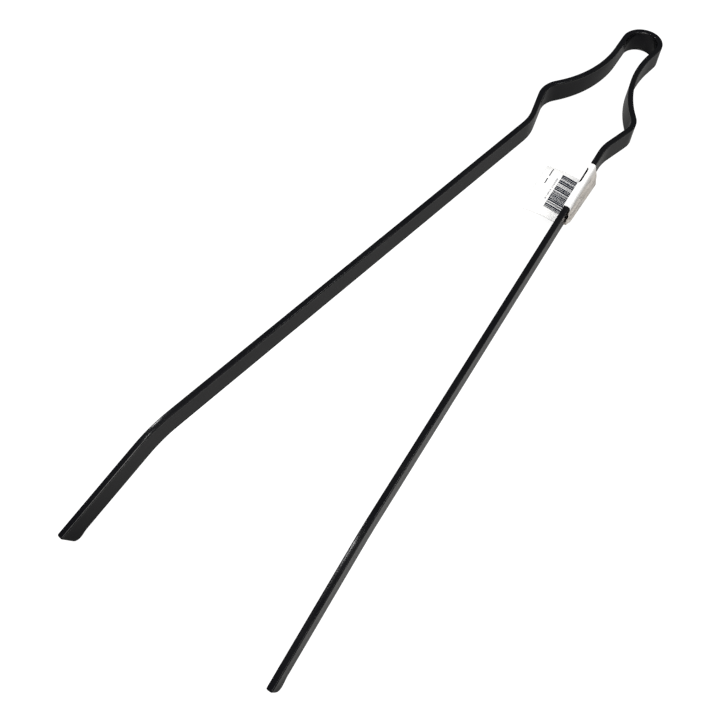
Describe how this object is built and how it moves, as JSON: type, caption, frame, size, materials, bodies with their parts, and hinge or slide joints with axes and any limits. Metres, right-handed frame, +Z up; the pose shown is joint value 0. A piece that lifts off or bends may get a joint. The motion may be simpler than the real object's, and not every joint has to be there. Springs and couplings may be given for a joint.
{
  "type": "aquascaping tweezers",
  "caption": "Long plastic-dipped spring-steel tweezers with an omega bow, wavy finger grips, straight diverging arms and drooping toes, with a folded paper label on an arm.",
  "frame": {"origin": "middle of the bounding box's bottom face: the surface that the tweezers lie on", "axes": "+X from the bow to the tips, +Y towards the arm that carries the label, +Z up from the table"},
  "size_m": [0.508, 0.1398, 0.0371],
  "materials": {
    "spring_steel": "satin",
    "black_skin": "gloss",
    "label_paper": "matt"
  },
  "bodies": {
    "bow": {"bow_spring_core": "spring_steel", "bow_skin": "black_skin"},
    "left_arm": {"left_arm_core": "spring_steel", "left_arm_skin": "black_skin"},
    "right_arm": {"right_arm_core": "spring_steel", "right_arm_skin": "black_skin", "paper_label": "label_paper"}
  },
  "joints": [
    {"name": "left_flex", "type": "hinge", "parent": "bow", "child": "left_arm", "pos_m": [-0.23786, -0.01815, 0.00858], "axis": [-0.0499, 0.0027, 0.9987], "range_deg": [0, 7.66], "stiffness_Nm_per_rad": 12},
    {"name": "right_flex", "type": "hinge", "parent": "bow", "child": "right_arm", "pos_m": [-0.23937, 0.00573, 0.00844], "axis": [0.0499, -0.0027, -0.9987], "range_deg": [0, 7.66], "stiffness_Nm_per_rad": 12}
  ],
  "couplings": [
    {"joint": "right_flex", "follows": "left_flex", "ratio": 1}
  ]
}
